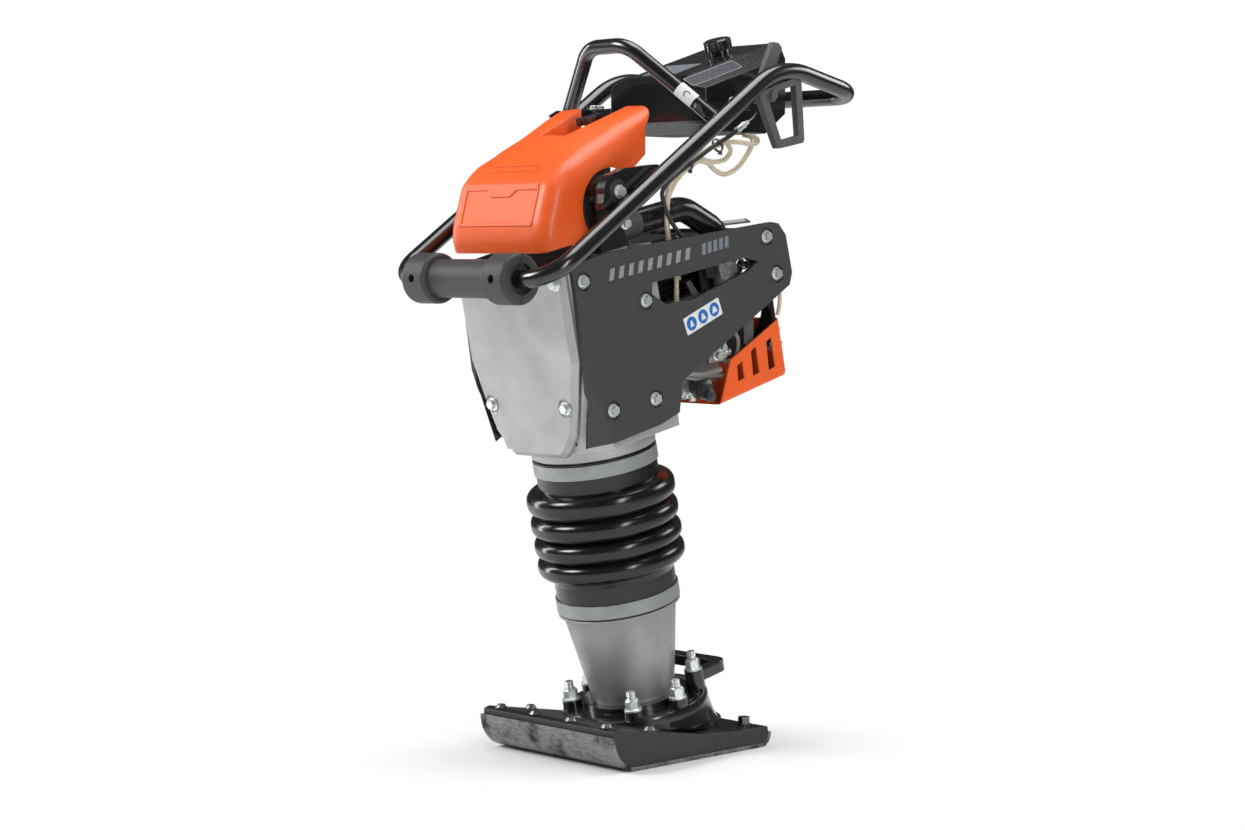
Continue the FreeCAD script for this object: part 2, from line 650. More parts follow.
def gear_face(teeth, first_angle):
    """A spur gear outline in the x-z plane, with one tooth centred on first_angle (radians)."""
    module = value("size.gear_module")
    pressure = math.radians(25)
    backlash = 0.25
    pitch_radius = module * teeth / 2
    base_radius = pitch_radius * math.cos(pressure)
    tip = pitch_radius + module * 0.95
    root = pitch_radius - module * 1.2
    half_tooth = math.pi / (2 * teeth) - backlash / (2 * pitch_radius)
    start = max(root, base_radius)
    flank = []
    steps = 5
    for i in range(steps + 1):
        radius = start + (tip - start) * i / steps
        here = math.acos(min(1, base_radius / radius))
        flank.append((radius, half_tooth + involute(pressure) - involute(here)))
    if root < start:
        flank.insert(0, (root, flank[0][1]))
    points = []
    for tooth in range(teeth):
        centre = first_angle + 2 * math.pi * tooth / teeth
        side = [(r, centre - a) for r, a in flank] + [(r, centre + a) for r, a in reversed(flank)]
        points += [Vector(r * math.cos(a), 0, r * math.sin(a)) for r, a in side]
    return Part.Face(Part.makePolygon(points + points[:1]))


def gear_blank(teeth, first_angle, low, high, centre_z):
    """A spur gear between two stations along y, about a shaft at height centre_z."""
    gear = doc.addObject("Part::Feature", fresh("gear"))
    solid = gear_face(teeth, first_angle).extrude(Vector(0, value(high) - value(low), 0))
    solid.translate(Vector(0, value(low), value(centre_z)))
    gear.Shape = solid
    return gear


def crank_gear():
    """The large gear, its shaft and the crank web in front of it."""
    half_tooth = math.pi / value("size.gear_teeth")
    toothed = gear_blank(int(value("size.gear_teeth")), -math.pi / 2 + half_tooth,
                         "size.gear_low_y", "size.gear_high_y", "size.crank_z")
    web = cylinder("size.web_radius", "size.gear_low_y - size.web_low_y + 1",
                   ("0", "size.web_low_y", "size.crank_z"), "y")
    shaft = cylinder("size.shaft_radius", "size.shaft_end_y - size.gear_high_y + 1",
                     ("0", "size.gear_high_y - 1", "size.crank_z"), "y")
    return finish(fuse(toothed, web, shaft), "crank_gear")


def pinion():
    """The small gear on the clutch shaft, below the crank gear."""
    toothed = gear_blank(int(value("size.pinion_teeth")), math.pi / 2,
                         "size.gear_low_y - 1", "size.gear_high_y + 1", "size.shaft_z")
    shaft = cylinder("size.pinion_shaft_radius", "size.drum_low_y - size.gear_high_y",
                     ("0", "size.gear_high_y", "size.shaft_z"), "y")
    return finish(fuse(toothed, shaft), "pinion")


def bearings():
    """The two ball bearings in the crankcase's rear wall, each with a running fit on its shaft."""
    rings = []
    for outer, inner, centre in (("crank_bearing_radius", "shaft_radius", "crank_z"),
                                 ("pinion_bearing_radius", "pinion_shaft_radius", "shaft_z")):
        ring = cylinder("size." + outer, "size.bearing_high_y - size.bearing_low_y",
                        ("0", "size.bearing_low_y", "size." + centre), "y")
        hole = cylinder("size.%s + 0.05" % inner, "60", ("0", "40", "size." + centre), "y")
        rings.append(cut(ring, hole))
    return finish(group(rings), "bearings")


def turned_about_shaft(shape, angle):
    """Turns a shape drawn at the frame's origin about Y, then lifts it to the engine's shaft."""
    turned = doc.addObject("Part::Compound", fresh("turned"))
    turned.Links = [shape]
    turned.Placement = Placement(Vector(), Rotation(Y_AXIS, angle))
    bind(turned, **{"Placement.Base.z": "size.shaft_z"})
    return turned


def clutch_drum():
    """The cup on the pinion shaft that the clutch shoes grip from inside."""
    cup = cylinder("size.drum_radius", "size.drum_high_y - size.drum_low_y",
                   ("0", "size.drum_low_y", "size.shaft_z"), "y")
    hollow = cylinder("size.drum_radius - size.drum_wall", "60",
                      ("0", "size.drum_low_y + size.drum_wall", "size.shaft_z"), "y")
    return finish(cut(cup, hollow), "clutch_drum")


def clutch_shoes():
    """The three centrifugal shoes on the engine shaft."""
    disc = cylinder("size.shoe_radius", "size.shoe_high_y - size.shoe_low_y",
                    ("0", "size.shoe_low_y", "size.shaft_z"), "y")
    hole = cylinder("size.engine_shaft_radius", "60", ("0", "size.shoe_low_y - 20", "size.shaft_z"), "y")
    slots = []
    for turn in (30, 150, 270):
        slot = box(("-2", "size.shoe_low_y - 1", "14"),
                   ("2", "size.shoe_high_y + 1", "size.shoe_radius + 1"))
        slots.append(turned_about_shaft(slot, turn))
    return finish(cut(disc, hole, *slots), "clutch_shoes")


def engine_crankshaft():
    """The engine's shaft, from the clutch shoes through the block to the flywheel."""
    shaft = cylinder("size.engine_shaft_radius", "size.flywheel_high_y - size.shoe_low_y",
                     ("0", "size.shoe_low_y", "size.shaft_z"), "y")
    web = cylinder("size.web_disc", "size.web_disc_width",
                   ("0", "size.engine_front_y + 24", "size.shaft_z"), "y")
    return finish(fuse(shaft, web), "engine_crankshaft")


# ---------------------------------------------------------------- engine

def engine_block():
    """The engine's own crankcase, with the clutch housing that bolts to the rammer's crankcase."""
    block = box(("-size.engine_half_width", "size.engine_front_y", "size.engine_low"),
                ("size.engine_half_width", "size.engine_rear_y", "size.engine_high"))
    shape = rounded(block, "size.block_corner", lambda c, e: straight(e, Y_AXIS))
    bell = cylinder("size.drum_radius + size.bell_gap + size.bell_wall",
                    "size.engine_front_y - size.case_rear_y + 1",
                    ("0", "size.case_rear_y", "size.shaft_z"), "y")
    bell_hollow = cylinder("size.drum_radius + size.bell_gap", "size.engine_front_y - size.case_rear_y - 6",
                           ("0", "size.case_rear_y - 1", "size.shaft_z"), "y")
    cavity = cylinder("size.cavity_radius",
                      "size.engine_rear_y - size.engine_front_y - 2 * size.cavity_wall",
                      ("0", "size.engine_front_y + size.cavity_wall", "size.shaft_z"), "y")
    hole = cylinder("size.engine_shaft_radius + 0.05", "200",
                    ("0", "size.case_rear_y", "size.shaft_z"), "y")
    bore = cylinder("size.bore_radius", "80", ("0", "size.bore_y", "size.shaft_z"))
    return finish(cut(fuse(shape, bell), bell_hollow, cavity, hole, bore), "engine_block")


def engine_cylinder():
    """The air-cooled cylinder with its fins."""
    barrel = cylinder("size.cylinder_radius", "size.cylinder_top - size.engine_high",
                      ("0", "size.bore_y", "size.engine_high"))
    fins = []
    for i in range(FIN_COUNT):
        low = "size.engine_high + 4 + %d * size.fin_pitch" % i
        fins.append(box(("-size.fin_half_width", "size.bore_y - size.fin_depth", low),
                        ("size.fin_half_width", "size.bore_y + size.fin_depth",
                         low + " + size.fin_thickness")))
    bore = cylinder("size.bore_radius", "200", ("0", "size.bore_y", "size.engine_high - 50"))
    return finish(cut(fuse(barrel, *fins), bore), "engine_cylinder")


FIN_COUNT = 7


def cylinder_head():
    """The head with its rocker cover, closing the cylinder."""
    plate = box(("-size.fin_half_width", "size.bore_y - size.fin_depth", "size.cylinder_top"),
                ("size.fin_half_width", "size.bore_y + size.fin_depth",
                 "size.cylinder_top + size.head_plate"))
    cover = box(("-size.fin_half_width + size.cover_inset", "size.bore_y - size.cover_depth",
                 "size.cylinder_top + size.head_plate - 1"),
                ("size.fin_half_width - size.cover_inset", "size.bore_y + size.cover_depth",
                 "size.head_top"))
    shape = rounded(cover, "6", lambda c, e: straight(e, Z_AXIS) or c.z > value("size.head_top") - 1)
    return finish(fuse(plate, shape), "cylinder_head")


def spark_plug():
    """The spark plug with its rubber boot, on the side of the head."""
    z = "size.cylinder_top + 5"
    y = "size.bore_y - 22"
    pieces = [cylinder("5", "12", ("size.fin_half_width", y, z), "x"),
              hexagon("9", "7", ("size.fin_half_width + 8", y, z), "x"),
              cylinder("8.5", "26", ("size.fin_half_width + 14", y, z), "x")]
    return finish(fuse(*pieces), "spark_plug")


def flywheel():
    """The flywheel with its cooling fan blades."""
    disc = cylinder("size.flywheel_radius", "10", ("0", "size.flywheel_low_y", "size.shaft_z"), "y")
    hub = cylinder("size.hub_radius", "size.flywheel_high_y - size.flywheel_low_y",
                   ("0", "size.flywheel_low_y", "size.shaft_z"), "y")
    blades = []
    for i in range(BLADE_COUNT):
        blade = box(("size.blade_root", "size.flywheel_low_y + 9", "-size.blade_half"),
                    ("size.flywheel_radius - 3", "size.flywheel_high_y", "size.blade_half"))
        blades.append(turned_about_shaft(blade, 360 * i / BLADE_COUNT))
    hole = cylinder("size.engine_shaft_radius", "100",
                    ("0", "size.flywheel_low_y - 30", "size.shaft_z"), "y")
    return finish(cut(fuse(disc, hub, *blades), hole), "flywheel")


BLADE_COUNT = 12


def recoil_housing():
    """The fan and starter housing: a slotted cup over the flywheel with a duct to the cylinder."""
    dims("Fan duct", duct_half=64, duct_front_y=205, duct_low=640, duct_top=716)
    drum = cylinder("size.starter_radius", "size.starter_high_y - size.starter_low_y",
                    ("0", "size.starter_low_y", "size.shaft_z"), "y")
    shape = rounded(drum, "10", lambda c, e: c.y > value("size.starter_high_y") - 1)
    hollow = cylinder("size.starter_radius - size.starter_wall",
                      "size.starter_high_y - size.starter_low_y - 5",
                      ("0", "size.starter_low_y - 1", "size.shaft_z"), "y")
    duct = rounded(box(("-size.duct_half", "size.duct_front_y", "size.duct_low"),
                       ("size.duct_half", "size.starter_high_y - 8", "size.duct_top")), "10",
                   lambda c, e: c.z > value("size.duct_top") - 1 or (straight(e, Z_AXIS) and c.y > 250))
    duct_room = box(("-size.duct_half + size.starter_wall", "size.duct_front_y - 1", "size.shaft_z"),
                    ("size.duct_half - size.starter_wall", "size.starter_high_y - 14",
                     "size.duct_top - size.starter_wall"))
    slots = []
    for turn in range(0, 360, 45):
        slot = box(("size.vent_low", "size.starter_high_y - 10", "-size.vent_half"),
                   ("size.vent_high", "size.starter_high_y + 5", "size.vent_half"))
        slots.append(turned_about_shaft(slot, turn))
    rope_guide = cylinder("9", "12", ("size.rope_x", "size.starter_high_y - 2", "size.rope_z"), "y")
    rope_hole = cylinder("4", "60", ("size.rope_x", "size.starter_high_y - 30", "size.rope_z"), "y")
    casing = fuse(shape, rope_guide, duct)
    return finish(cut(casing, hollow, duct_room, rope_hole, *slots), "recoil_housing")


def recoil_handle():
    """The pull grip of the starter with the end of its rope."""
    start = "size.starter_high_y + 11"
    rope = cylinder("size.rope_radius", "26",
                    ("size.rope_x", "size.starter_high_y - 10", "size.rope_z"), "y")
    grip = box(("size.rope_x - size.grip_half", start, "size.rope_z - size.grip_low"),
               ("size.rope_x + size.grip_half", start + " + size.grip_thick",
                "size.rope_z + size.grip_low"))
    shape = rounded(grip, "5", lambda c, e: straight(e, X_AXIS) or straight(e, Y_AXIS))
    return finish(fuse(rope, shape), "recoil_handle")


def carburettor():
    """The carburettor beside the cylinder: a body, a float bowl and a throttle shaft boss."""
    x = "size.carb_x"
    y = "size.carb_y"
    pieces = [box((x + " - 16", y + " - 18", "size.carb_z - 14"),
                  (x + " + 14", y + " + 18", "size.carb_z + 20")),
              cylinder("15", "24", (x, y, "size.carb_z - 34")),
              cylinder("5", "10", (x + " + 13", y + " - 6", "size.carb_z + 6"), "x")]
    lever_hole = cylinder("3.05", "60", (x + " - 5", y + " + 8", "size.carb_z + 10"), "x")
    return finish(cut(fuse(*pieces), lever_hole), "carburettor")


def choke_lever():
    """The choke lever: a small arm on a shaft in the carburettor."""
    x = "size.carb_x + 20"
    y = "size.carb_y + 8"
    z = "size.carb_z + 10"
    pieces = [cylinder("3", "21", ("size.carb_x + 2", y, z), "x"),
              cylinder("6", "3", (x, y, z), "x"),
              box((x, y + " - 3", z), (x + " + 3", y + " + 3", z + " + 24"))]
    return finish(fuse(*pieces), "choke_lever")


def muffler():
    """The exhaust muffler on the far side of the engine, with its outlet."""
    can = box(("-size.case_half_width + 6", "size.bore_y - 38", "size.cylinder_top - 58"),
              ("-size.fin_half_width - 8", "size.bore_y + 38", "size.cylinder_top + 16"))
    shape = rounded(can, "9", lambda c, e: True)
    port = cylinder("11", "14", ("-size.fin_half_width - 14", "size.bore_y", "size.cylinder_top - 24"), "x")
    outlet = cylinder("9", "14", ("-size.case_half_width + 26", "size.bore_y + 36",
                                  "size.cylinder_top - 10"), "y")
    return finish(fuse(shape, port, outlet), "muffler")


def intake_elbow():
    """The thick rubber elbow from the filter housing over the engine, down to the carburettor."""
    dims("Intake elbow", elbow_radius=18, elbow_start_y=66, elbow_z=775, elbow_end_y=228, elbow_rise=46,
         elbow_run=62)
    x = value("size.carb_x")
    points = [Vector(x, value("size.elbow_start_y"), value("size.elbow_z")),
              Vector(x, value("size.elbow_end_y - size.elbow_run"), value("size.elbow_z")),
              Vector(x, value("size.elbow_end_y"), value("size.elbow_z - size.elbow_rise")),
              Vector(x, value("size.carb_y"), value("size.carb_z") + 20.2)]
    return finish(sweep(rounded_wire(points, [0, 50, 40, 0]), "size.elbow_radius"), "intake_elbow")


def rear_guard():
    """The orange bent-sheet guard under the engine, with three slots in each side."""
    dims("Rear guard", guard_half_width=102, guard_sheet=3, guard_front_low_y=169,
         guard_front_low_z=481, guard_front_high_y=203, guard_front_high_z=540, guard_rear_y=318,
         guard_rear_low_z=489, guard_rear_high_z=576, slot_half=7.5, slot_low=505)
    outline = [("size.guard_front_low_y", "size.guard_front_low_z"),
               ("size.guard_front_high_y", "size.guard_front_high_z"),
               ("size.guard_rear_y", "size.guard_rear_high_z"),
               ("size.guard_rear_y", "size.guard_rear_low_z")]
    shell = body("guard")
    pad(shell, "YZ", "-size.guard_half_width", "size.guard_half_width", outline)
    soften(shell, "8", lambda c, e: straight(e, X_AXIS) and c.y > 300 and c.z < 500)
    soften(shell, "6", lambda c, e: straight(e, Z_AXIS) and c.y > 310)
    inner_front = "size.guard_front_low_y - 20"
    pocket(shell, "YZ", "-size.guard_half_width + size.guard_sheet",
           "size.guard_half_width - size.guard_sheet", [
               (inner_front, "size.guard_front_low_z - 4 + size.guard_sheet"),
               (inner_front, "size.guard_rear_high_z + 30"),
               ("size.guard_rear_y - size.guard_sheet", "size.guard_rear_high_z + 30"),
               ("size.guard_rear_y - size.guard_sheet", "size.guard_rear_low_z + size.guard_sheet")])
    for slot_y, slot_top in (("219", "size.slot_low + 28"), ("252", "size.slot_low + 42"),
                             ("287", "size.slot_low + 48")):
        pocket(shell, "YZ", "-size.guard_half_width - 1", "size.guard_half_width + 1", [
            (slot_y + " - size.slot_half", "size.slot_low"),
            (slot_y + " - size.slot_half + 3", slot_top + " - 5"),
            (slot_y + " + size.slot_half", slot_top), (slot_y + " + size.slot_half", "size.slot_low + 2")])
    return finish(cut(shell, *guard_bolt_holes()), "rear_guard")


def rear_frame():
    """The black frame behind the engine that carries the side covers' rear bolts and the guard."""
    dims("Rear frame", frame_low_y=308.5, frame_high_y=314.5, frame_half_width=98, frame_inner=93,
         frame_low=528, frame_high=714, frame_cheek_y=282)
    owner = body("frame")
    pad(owner, "XZ", "size.frame_cheek_y", "size.frame_high_y", [
        ("-size.frame_half_width", "size.frame_low"), ("size.frame_half_width", "size.frame_low"),
        ("size.frame_half_width", "size.frame_high"), ("-size.frame_half_width", "size.frame_high")])
    pocket(owner, "XZ", "size.frame_cheek_y - 1", "size.frame_low_y", [
        ("-size.frame_inner", "size.frame_low - 5"), ("size.frame_inner", "size.frame_low - 5"),
        ("size.frame_inner", "size.frame_high + 5"), ("-size.frame_inner", "size.frame_high + 5")])
    pocket(owner, "XZ", "size.frame_low_y - 2", "size.frame_high_y + 1",
           ("0", "size.shaft_z + 14", "size.starter_radius - 2"))
    pocket(owner, "YZ", "-size.frame_half_width - 1", "size.frame_half_width + 1", [
        ("size.frame_cheek_y - 1", "size.frame_low - 1"), ("size.frame_low_y - 1", "size.frame_low - 1"),
        ("size.frame_low_y - 1", "size.frame_low + 62"),
        ("size.frame_cheek_y - 1", "size.frame_low + 100")])
    return finish(cut(fuse(owner, *rear_ears()), *guard_bolt_holes()), "rear_frame")


def rear_ears():
    """The ears that reach out from the frame to the side covers' rear bolts."""
    ears = []
    for side in (-1, 1):
        for y, z in SIDE_BOLTS[4:]:
            low = "size.frame_inner" if side > 0 else "-size.case_half_width"
            ears.append(cylinder("11", "size.case_half_width - size.frame_inner", (low, y, z), "x"))
    return ears


def guard_bolt_holes():
    """The holes for the bolts through the guard's rear wall into the frame."""
    holes = []
    for side in (-1, 1):
        for z in GUARD_BOLTS:
            x = "%d * (size.guard_half_width - 14)" % side
            holes.append(cylinder("size.bolt_shank + 0.1", "60", (x, "size.frame_cheek_y - 2", z), "y"))
    return holes


GUARD_BOLTS = ("size.guard_rear_high_z - 16", "size.guard_rear_high_z - 38")


# ---------------------------------------------------------------- crankcase and covers

def envelope(offset, rear, front="size.case_front_y"):
    """The crankcase's outer form, grown sideways: chamfered front corners below, square above."""
    owner = body("envelope")
    wide = "size.case_half_width + " + offset
    low_corner = "size.case_front_half_low + " + offset
    cut_back = "size.case_front_y + size.case_half_width - size.case_front_half_low"
    low = sketch_on(owner, "XY", "size.case_bottom")
    draw(low, [[("-(%s)" % wide, rear), ("-(%s)" % wide, cut_back), ("-(%s)" % low_corner, front),
                (low_corner, front), (wide, cut_back), (wide, rear)]])
    square = [("-(%s)" % wide, rear), ("-(%s)" % wide, front + " + 2"), ("-(%s) + 2" % wide, front),
              (wide + " - 2", front), (wide, front + " + 2"), (wide, rear)]
    high = sketch_on(owner, "XY", "size.case_corner_z")
    draw(high, [square])
    loft = owner.newObject("PartDesign::AdditiveLoft", fresh("loft"))
    loft.Profile = low
    loft.Sections = [high]
    loft.Ruled = True
    top = sketch_on(owner, "XY", "size.case_corner_z")
    draw(top, [square])
    upper = owner.newObject("PartDesign::Pad", fresh("pad"))
    upper.Profile = top
    spare = "0" if offset == "0" else "20"
    upper.setExpression("Length", "size.case_top - size.case_corner_z + %s" % spare)
    return owner


dims("Bolt places", cover_bolt_x=77, cover_bolt_z=548, cover_bolt_top_x=100, cover_bolt_top_z=726,
     bolt_head=7, bolt_flange=9.5, bolt_shank=4, bolt_recess=3.5, recess_radius=14)
dims("Arms on the crankcase that hold the handle's bushes", support_inner_x=106, support_foot_x=92,
     support_outer_x=117, support_eye=19, support_front_y=-31, support_rear_y=22, support_foot=10,
     support_step=7, arm_pivot_y=-10.72, arm_pivot_z=834.09, arm_half=16)


def support_arms():
    """The two arms cast on the crankcase; they rise beside the hood to the handle's bushes."""
    arms = []
    for side in (-1, 1):
        low, high = ("size.support_inner_x", "size.support_outer_x")
        if side < 0:
            low, high = "-" + high, "-" + low
        arm = body("support")
        pad(arm, "YZ", low, high, [
            ("size.support_front_y", "size.case_top + size.support_step"),
            ("size.arm_pivot_y - size.arm_half", "size.arm_pivot_z - 5"),
            ("size.arm_pivot_y + size.arm_half", "size.arm_pivot_z - 5"),
            ("size.support_rear_y", "size.case_top + size.support_step")])
        eye = cylinder("size.support_eye", "size.support_outer_x - size.support_inner_x",
                       (low, "size.arm_pivot_y", "size.arm_pivot_z"), "x")
        foot_low, foot_high = ("size.support_foot_x", "size.case_half_width")
        if side < 0:
            foot_low, foot_high = "-" + foot_high, "-" + foot_low
        foot = box((foot_low, "size.support_front_y", "size.case_top - 2"),
                   (foot_high, "size.support_rear_y", "size.case_top + size.support_foot"))
        hole = cylinder("size.bolt_shank + 0.1", "60",
                        (low + " - 20", "size.arm_pivot_y", "size.arm_pivot_z"), "x")
        arms.append(cut(fuse(arm, eye, foot), hole))
    return arms


def crankcase():
    """The aluminium housing: a hollow box open at the front, on a round neck for the bellows."""
    outer = envelope("0", "size.case_rear_y")
    neck = cylinder("size.neck_radius", "size.case_bottom - size.neck_low + 1", ("0", "0", "size.neck_low"))
    spigot = cylinder("size.spigot_radius", "40", ("0", "0", "size.upper_band_z - 4"))
    upper_room = box(("-size.room_half_width", "size.case_front_y - 1", "size.case_corner_z - 1"),
                     ("size.room_half_width", "size.room_rear_y", "size.case_top - size.case_roof"))
    lower_room = box(("-size.case_front_half_low + 4", "size.case_front_y - 1", "size.case_bottom + 12"),
                     ("size.case_front_half_low - 4", "size.room_rear_y", "size.case_corner_z"))
    holes = [cylinder("size.guide_radius", "size.guide_high + 11 - size.upper_band_z",
                      ("0", "0", "size.upper_band_z - 10")),
             wall_hole("size.crank_bearing_radius", "size.bearing_high_y", "size.crank_z"),
             wall_hole("size.shaft_radius + 1", "size.shaft_end_y + 0.5", "size.crank_z"),
             wall_hole("size.pinion_bearing_radius", "size.bearing_high_y", "size.shaft_z"),
             wall_hole("size.pinion_shaft_radius + 1", "size.case_rear_y + 10", "size.shaft_z")]
    blank = fuse(outer, neck, spigot, *support_arms())
    return finish(cut(blank, upper_room, lower_room, *holes), "crankcase")


def wall_hole(radius, reach_y, z):
    """A hole from inside the crankcase into its rear wall, as far back as reach_y."""
    start = "size.room_rear_y - 10"
    return cylinder(radius, "%s - (%s)" % (reach_y, start), ("0", start, z), "y")


def front_cover():
    """The cast cover over the crank gear: wide above, tapering to the leg, with bevelled edges."""
    dims("Front cover outline", cover_top=742, cover_waist_half=94, cover_waist_z=543,
         cover_low_half=82, cover_low_z=506, cover_foot_half=62, cover_foot_z=480, cover_bottom=472)
    owner = body("front_cover")
    right = [("size.case_half_width", "size.cover_top"), ("size.case_half_width", "size.case_corner_z"),
             ("size.cover_waist_half", "size.cover_waist_z"), ("size.cover_low_half", "size.cover_low_z"),
             ("size.cover_foot_half", "size.cover_foot_z"),
             ("size.cover_foot_half - 10", "size.cover_bottom")]
    left = [("-(%s)" % x, z) for x, z in reversed(right)]
    pad(owner, "XZ", "size.cover_front_y", "size.case_front_y", right + left)
    soften(owner, "8", lambda c, e: c.y < value("size.cover_front_y") + 0.01 and c.z < 735, "Chamfer")
    holes = [cylinder("size.bolt_shank + 0.1", "40", (x, "size.cover_front_y - 10", z), "y")
             for x, z in COVER_BOLTS]
    recesses = [cylinder("size.recess_radius", "size.bolt_recess", (x, "size.cover_front_y", z), "y")
                for x, z in COVER_BOLTS[:2]]
    return finish(cut(owner, *holes, *recesses), "front_cover")


COVER_BOLTS = [("-size.cover_bolt_x", "size.cover_bolt_z"), ("size.cover_bolt_x", "size.cover_bolt_z"),
               ("-size.cover_bolt_top_x", "size.cover_bolt_top_z"),
               ("size.cover_bolt_top_x", "size.cover_bolt_top_z")]
dims("Side cover bolts, (y, z) in the leaning frame", side_bolt_a_y=-77, side_bolt_a_z=722,
     side_bolt_b_y=35, side_bolt_b_z=669, side_bolt_c_y=-60, side_bolt_c_z=534, side_bolt_d_y=24,
     side_bolt_d_z=529, side_bolt_e_y=297, side_bolt_e_z=704, side_bolt_f_y=307, side_bolt_f_z=646)
SIDE_BOLTS = [("size.side_bolt_%s_y" % k, "size.side_bolt_%s_z" % k) for k in "abcdef"]


def side_cover(side, label):
    """A plastic side cover: a plate that follows the crankcase and runs back past the engine."""
    slab = body("side_slab")
    low, high = ("50", "130") if side > 0 else ("-130", "-50")
    pad(slab, "YZ", low, high, [(y, z) for y, z in SIDE_OUTLINE])
    pocket(slab, "YZ", low + " - 1", high + " + 1", [(y, z) for y, z in SIDE_WINDOW])
    shell = doc.addObject("Part::Common", fresh("common"))
    shell.Base = slab
    shell.Tool = envelope("size.side_thickness", "360", "size.case_front_y - 12")
    tools = [envelope("1", "365", "size.case_front_y - 30")]
    face = "(size.case_half_width + size.side_thickness)"
    for y, z in SIDE_BOLTS:
        tools.append(cylinder("size.bolt_shank + 0.1", "30", ("%d * %s - 15" % (side, face), y, z), "x"))
        recess = cylinder("size.recess_radius", "4 * size.bolt_recess",
                          ("%d * (%s + size.bolt_recess) - 2 * size.bolt_recess" % (side, face), y, z), "x")
        tools.append(recess)
    return finish(cut(shell, *tools), label)


dims("Side covers", side_thickness=9, side_shank=5.4)
dims("Side cover outline, (y, z) in the leaning frame", so_a_y=-92, so_a_z=748, so_b_y=-33, so_b_z=751,
     so_c_y=45, so_c_z=746, so_d_y=166, so_d_z=736, so_e_y=312, so_e_z=723, so_f_y=326, so_f_z=718,
     so_g_y=338, so_g_z=698, so_h_y=340, so_h_z=641, so_i_y=331, so_i_z=624, so_j_y=81, so_j_z=540,
     so_k_y=66, so_k_z=498, so_l_y=25, so_l_z=491, so_m_y=-108, so_m_z=488, so_n_y=-100, so_n_z=604)
SIDE_OUTLINE = [("size.so_%s_y" % k, "size.so_%s_z" % k) for k in "abcdefghijklmn"]
dims("Side cover window, (y, z) in the leaning frame", sw_a_y=48, sw_a_z=676, sw_b_y=72, sw_b_z=655,
     sw_c_y=123, sw_c_z=649, sw_d_y=188, sw_d_z=656, sw_e_y=246, sw_e_z=663, sw_f_y=271, sw_f_z=673,
     sw_g_y=248, sw_g_z=684, sw_h_y=152, sw_h_z=688, sw_i_y=52, sw_i_z=691)
SIDE_WINDOW = [("size.sw_%s_y" % k, "size.sw_%s_z" % k) for k in "abcdefghi"]


def flange_bolt(base, axis, side, shank):
    """A flanged hex bolt whose flange starts at base and whose head points along side * axis."""
    along = {"x": 0, "y": 1}[axis]

    def shifted(amount):
        moved = list(base)
        moved[along] = "%s + (%s)" % (base[along], amount)
        return tuple(moved)

    if side > 0:
        pieces = [cylinder("size.bolt_flange", "2.5", shifted("0"), axis),
                  hexagon("size.bolt_head", "7", shifted("2"), axis),
                  cylinder("size.bolt_shank", shank + " + 1", shifted("-(%s)" % shank), axis)]
    else:
        pieces = [cylinder("size.bolt_flange", "2.5", shifted("-2.5"), axis),
                  hexagon("size.bolt_head", "7", shifted("-9"), axis),
                  cylinder("size.bolt_shank", shank + " + 1", shifted("-1"), axis)]
    return fuse(*pieces)


def housing_bolts():
    """All the flanged bolts on the crankcase, the side covers, the guard and the handle supports."""
    bolts = [flange_bolt((x, "size.cover_front_y + size.bolt_recess", z), "y", -1, "10.4")
             for x, z in COVER_BOLTS[:2]]
    bolts += [flange_bolt((x, "size.cover_front_y", z), "y", -1, "13.9") for x, z in COVER_BOLTS[2:]]
    face = "(size.case_half_width + size.side_thickness - size.bolt_recess)"
    for side in (-1, 1):
        for y, z in SIDE_BOLTS:
            bolts.append(flange_bolt(("%d * %s" % (side, face), y, z), "x", side, "size.side_shank"))
        for z in GUARD_BOLTS:
            bolts.append(flange_bolt(("%d * (size.guard_half_width - 14)" % side, "size.guard_rear_y", z),
                                     "y", 1, "size.guard_rear_y - size.frame_low_y"))
        pivot = ("%d * size.bracket_outer_x" % side, "size.arm_pivot_y", "size.arm_pivot_z")
        bolts.append(flange_bolt(pivot, "x", side, "size.bracket_outer_x - size.support_inner_x"))
    return finish(group(bolts), "housing_bolts")


# ---------------------------------------------------------------- air filter

dims("Air filter, in the leaning frame", filter_y=13, filter_z=807, filter_radius=51,
     filter_half_width=96, element_radius=40, tower_half=14, knob_y=97, knob_z=918, knob_row_y=-65,
     knob_hub=10, knob_reach=15, knob_arm=7)


def filter_housing():
    """The black filter housing on the crankcase: a hollow drum across, a base and a stud tower."""
    drum = cylinder("size.filter_radius", "2 * size.filter_half_width",
                    ("-size.filter_half_width", "size.filter_y", "size.filter_z"), "x")
    shape = rounded(drum, "8", lambda c, e: True)
    base = box(("-60", "size.filter_y - 34", "size.case_top"),
               ("60", "size.filter_y + 40", "size.filter_z - 20"))
    port = cylinder("size.elbow_radius + 3", "40",
                    ("size.carb_x", "size.elbow_start_y - 40.5", "size.elbow_z"), "y")
    half = "size.tower_half"
    tower = box(("-" + half, "size.filter_y + 10", "size.filter_z + 30"),
                (half, "size.knob_y + 10", "size.filter_z + 60"))
    post = box(("-" + half, "size.knob_y - 14", "size.filter_z + 50"),
               (half, "size.knob_y + 10", "size.knob_z - 46"))
    room = cylinder("size.filter_radius - 4", "2 * size.filter_half_width - 8",
                    ("-size.filter_half_width + 4", "size.filter_y", "size.filter_z"), "x")
    mouth = cylinder("size.elbow_radius - 3", "80",
                     ("size.carb_x", "size.elbow_start_y - 50", "size.elbow_z"), "y")
    thread = cylinder("4.05", "30", ("0", "size.knob_y", "size.knob_z - 55"))
    return finish(cut(fuse(shape, base, port, tower, post), room, mouth, thread), "filter_housing")


